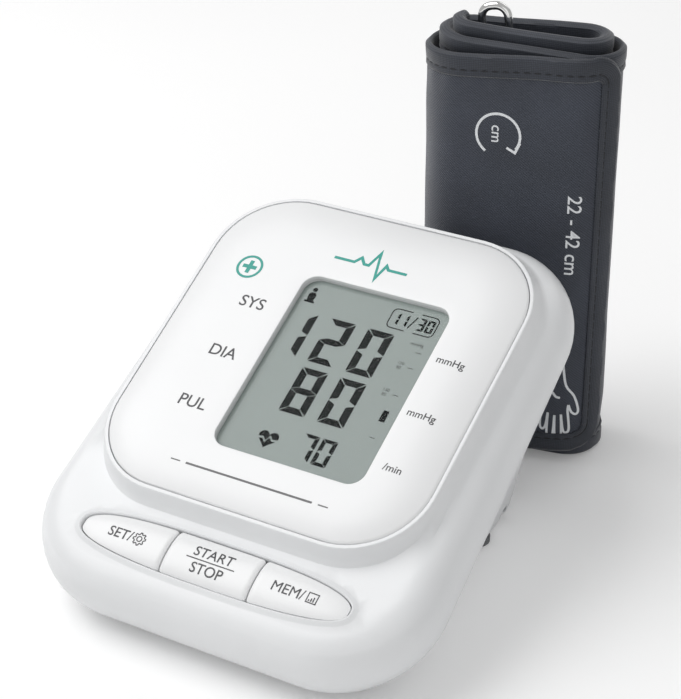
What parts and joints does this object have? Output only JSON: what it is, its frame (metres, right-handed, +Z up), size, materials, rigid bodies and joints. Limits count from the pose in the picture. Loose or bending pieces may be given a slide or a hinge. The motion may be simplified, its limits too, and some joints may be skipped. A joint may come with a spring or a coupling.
{
  "type": "upper-arm blood pressure monitor with rolled arm cuff",
  "caption": "Desktop blood pressure monitor with sloping display deck and push buttons, and its fabric arm cuff rolled up and standing behind it.",
  "frame": {"origin": "on the surface that the part stands on, under the middle of its whole footprint, monitor and cuff together", "axes": "+X to the user's right, +Y from the button side to the back, +Z up"},
  "size_m": [0.132, 0.1852, 0.1517],
  "materials": {
    "white_housing": "satin white ABS",
    "white_gloss": "gloss white",
    "clear_window": "clear acrylic",
    "display": "grey-green liquid crystal glass",
    "pink_rubber": "conductive elastomer",
    "grey_rubber": "matt",
    "board": "solder mask",
    "black_plastic": "matt black",
    "plated_steel": "bright plated",
    "grey_plastic": "satin",
    "clear_tube": "silicone",
    "cell_label": "printed sleeve",
    "cuff_nylon": "woven nylon",
    "cuff_lining": "woven nylon",
    "bladder": "thin sheet",
    "hook_tape": "hook tape",
    "loop_tape": "loop pile",
    "binding_tape": "woven tape",
    "ring_chrome": "polished"
  },
  "bodies": {
    "monitor": {"top_shell": "white_housing", "bottom_shell": "white_housing", "faceplate": "white_gloss", "window_lens": "clear_window", "lcd_glass": "display", "lcd_holder": "white_housing", "contact_strips": "pink_rubber", "button_mat": "grey_rubber", "main_board": "board", "board_chips": "black_plastic", "board_screws": "plated_steel", "pressure_sensor": "black_plastic", "buzzer": "black_plastic", "pump_motor": "plated_steel", "pump_head": "grey_plastic", "pump_cradle": "grey_rubber", "valve_body": "plated_steel", "valve_spring": "plated_steel", "air_manifold": "grey_plastic", "socket_tube": "clear_tube", "sensor_tube": "clear_tube", "air_socket": "grey_plastic", "power_jack": "black_plastic", "battery_cells": "cell_label", "battery_springs": "plated_steel", "battery_plates": "plated_steel", "housing_screws": "plated_steel", "feet": "grey_rubber"},
    "set_key": {"set_button": "white_gloss"},
    "start_key": {"start_button": "white_gloss"},
    "memory_key": {"memory_button": "white_gloss"},
    "cover": {"battery_cover": "white_housing"},
    "pump_rotor": {"pump_shaft": "plated_steel"},
    "valve_core": {"valve_plunger": "plated_steel"},
    "cuff": {"cuff_cover": "cuff_nylon", "cuff_lining": "cuff_lining", "cuff_bladder": "bladder", "cuff_ring": "ring_chrome", "cuff_port": "grey_plastic", "hook_patch": "hook_tape", "loop_patch": "loop_tape", "top_binding": "binding_tape", "bottom_binding": "binding_tape", "end_binding": "binding_tape"}
  },
  "joints": [
    {"name": "set_press", "type": "slide", "parent": "monitor", "child": "set_key", "axis": [0, 0.4384, -0.8988], "range_m": [0, 0.0008], "stiffness_N_per_m": 450},
    {"name": "start_press", "type": "slide", "parent": "monitor", "child": "start_key", "axis": [0, 0.4384, -0.8988], "range_m": [0, 0.0008], "stiffness_N_per_m": 450},
    {"name": "memory_press", "type": "slide", "parent": "monitor", "child": "memory_key", "axis": [0, 0.4384, -0.8988], "range_m": [0, 0.0008], "stiffness_N_per_m": 450},
    {"name": "cover_slide", "type": "slide", "parent": "monitor", "child": "cover", "axis": [0, 1, 0], "range_m": [0, 0.008]},
    {"name": "pump_turn", "type": "hinge", "parent": "monitor", "child": "pump_rotor", "pos_m": [-0.04, -0.0415, 0.0158], "axis": [1, 0, 0], "continuous": true},
    {"name": "valve_shift", "type": "slide", "parent": "monitor", "child": "valve_core", "axis": [1, 0, 0], "range_m": [0, 0.001], "stiffness_N_per_m": 150},
    {"name": "cuff_lift", "type": "slide", "parent": "monitor", "child": "cuff", "axis": [0, 0, 1], "range_m": [0, 0.1]}
  ]
}
